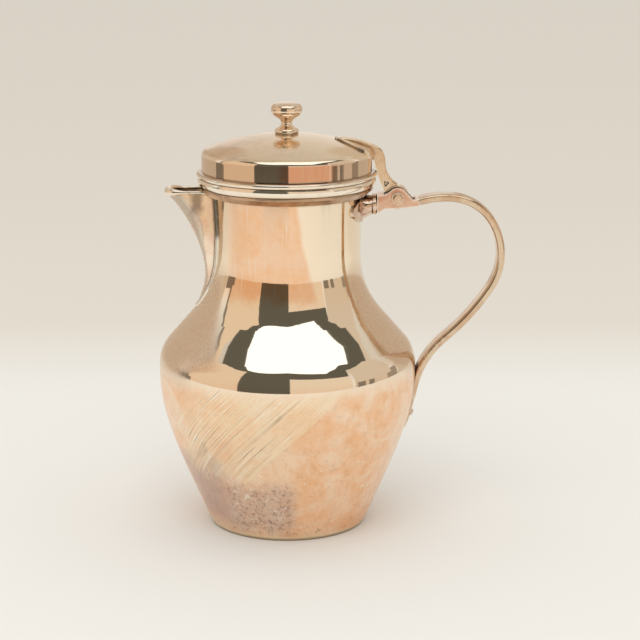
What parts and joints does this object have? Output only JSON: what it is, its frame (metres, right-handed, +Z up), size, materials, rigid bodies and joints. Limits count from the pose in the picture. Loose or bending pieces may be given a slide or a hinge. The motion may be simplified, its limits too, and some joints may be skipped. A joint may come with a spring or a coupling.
{
  "type": "chocolate pot",
  "caption": "Chocolate pot in worn silver plate: a wide shouldered body with a narrow neck, an open beak spout, a bent strap handle and a domed lid on a hinge.",
  "frame": {"origin": "centre of the foot's flat underside, on the pot's upright axis", "axes": "+Z up along the pot's axis, -X towards the beak, +X towards the hinge and the handle, +Y along the hinge pin"},
  "size_m": [0.1366, 0.1018, 0.1684],
  "materials": {
    "plate_body": "worn silver plate on a copper alloy, polished, tarnished and scratched",
    "plate_base": "worn silver plate, dull",
    "plate_trim": "worn silver plate, polished on the raised edges",
    "plate_hinge": "silver plate rubbed through to the copper alloy",
    "plate_handle": "worn silver plate, tan at the edges",
    "plate_lid": "worn silver plate, satin on the dome",
    "plate_inside": "silver plate, little worn",
    "plate_knob": "worn silver plate, polished"
  },
  "bodies": {
    "pot": {"body_shell": "plate_body", "base_plate": "plate_base", "rim_moulding": "plate_trim", "spout": "plate_trim", "spout_lip_wire": "plate_trim", "spout_seam_bead": "plate_trim", "neck_socket": "plate_hinge", "hinge_lug": "plate_hinge", "hinge_pin": "plate_hinge", "hinge_washers": "plate_hinge", "handle": "plate_handle", "handle_rivet": "plate_handle"},
    "lid": {"lid_cover": "plate_lid", "lid_flange": "plate_lid", "lid_bezel": "plate_inside", "lid_bracket": "plate_hinge", "finial": "plate_knob", "finial_washer": "plate_inside", "finial_nut": "plate_inside"}
  },
  "joints": [
    {"name": "lid_hinge", "type": "hinge", "parent": "pot", "child": "lid", "pos_m": [0.0432, 0, 0.1313], "axis": [0, 1, 0], "range_deg": [0, 100]}
  ]
}
